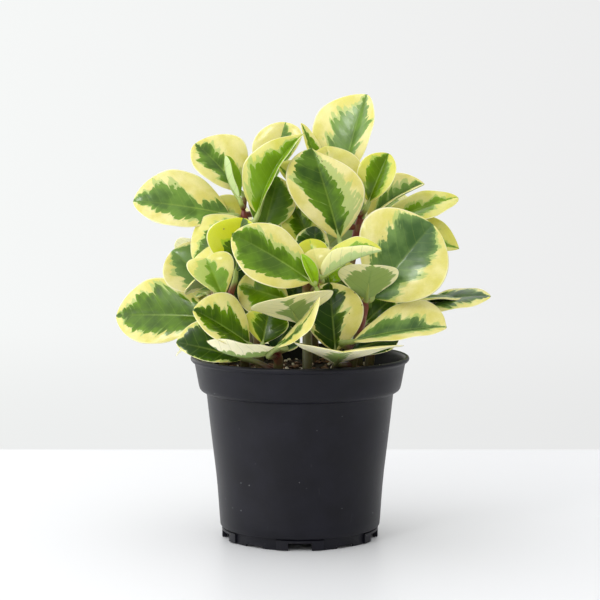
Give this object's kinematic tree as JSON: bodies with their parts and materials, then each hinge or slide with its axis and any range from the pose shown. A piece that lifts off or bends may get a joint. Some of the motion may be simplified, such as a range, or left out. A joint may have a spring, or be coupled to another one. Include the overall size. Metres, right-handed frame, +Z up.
{
  "type": "potted peperomia",
  "caption": "Bushy potted house plant with thick rounded leaves, green in the middle with cream margins, on short shoots in a black plastic nursery pot filled with soil",
  "frame": {"origin": "on the pot's axis, at the level of the pot's feet", "axes": "+Z up, -Y to the front as pictured, +X to the right seen from the front"},
  "size_m": [0.2059, 0.1557, 0.2428],
  "materials": {
    "black_plastic": "black moulded plastic with a soft sheen",
    "potting_soil": null,
    "leaf": null
  },
  "bodies": {
    "root": {"pot": "black_plastic", "soil": "potting_soil", "shoot_right_high": "leaf", "shoot_left_high": "leaf", "shoot_left_low": "leaf", "shoot_left": "leaf", "shoot_front_left": "leaf", "shoot_centre_front": "leaf", "shoot_front_right": "leaf", "shoot_right": "leaf", "shoot_back_centre": "leaf", "shoot_back_left": "leaf", "shoot_back_right": "leaf"}
  },
  "joints": []
}
